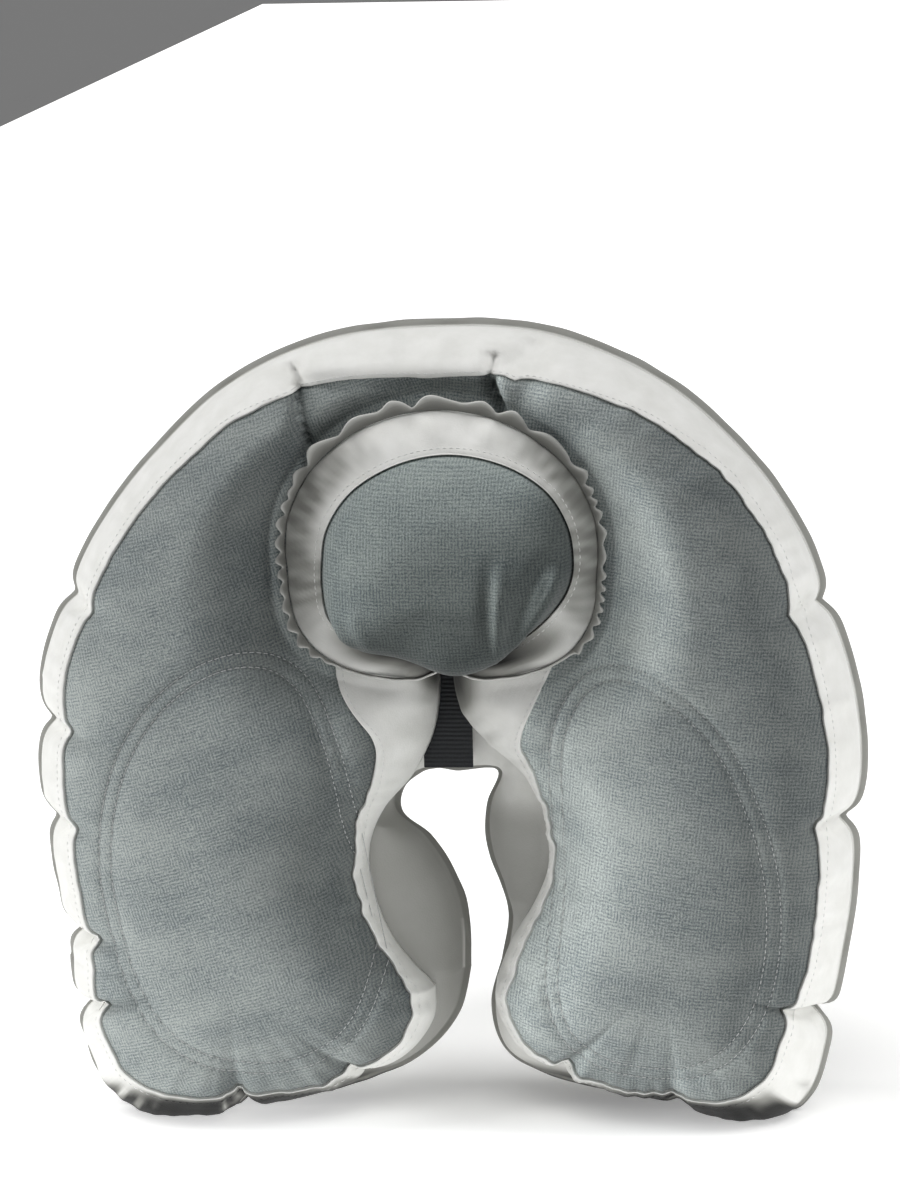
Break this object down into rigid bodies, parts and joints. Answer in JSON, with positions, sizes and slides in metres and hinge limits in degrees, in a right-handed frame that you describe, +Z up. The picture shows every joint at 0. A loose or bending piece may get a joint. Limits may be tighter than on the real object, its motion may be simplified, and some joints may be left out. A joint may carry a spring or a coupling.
{
  "type": "inflatable travel pillow",
  "caption": "Horseshoe travel pillow with a velour face, light cloth border and an oval head cushion, standing on its arm ends.",
  "frame": {"origin": "on the floor under the middle of the pillow's bounding box", "axes": "+X to the right across the arms, -Y out of the velour face, +Z up from the feet to the bend"},
  "size_m": [0.3722, 0.1378, 0.355],
  "materials": {
    "light_cloth": "brushed light grey cloth",
    "grey_velour": "short grey velour pile",
    "black_webbing": "ribbed black webbing"
  },
  "bodies": {
    "root": {"front_cushion": "light_cloth", "rear_cushion": "light_cloth", "velour_face": "grey_velour", "head_cushion": "light_cloth", "head_velour": "grey_velour", "gathered_edge": "light_cloth", "flat_tab": "black_webbing"}
  },
  "joints": []
}
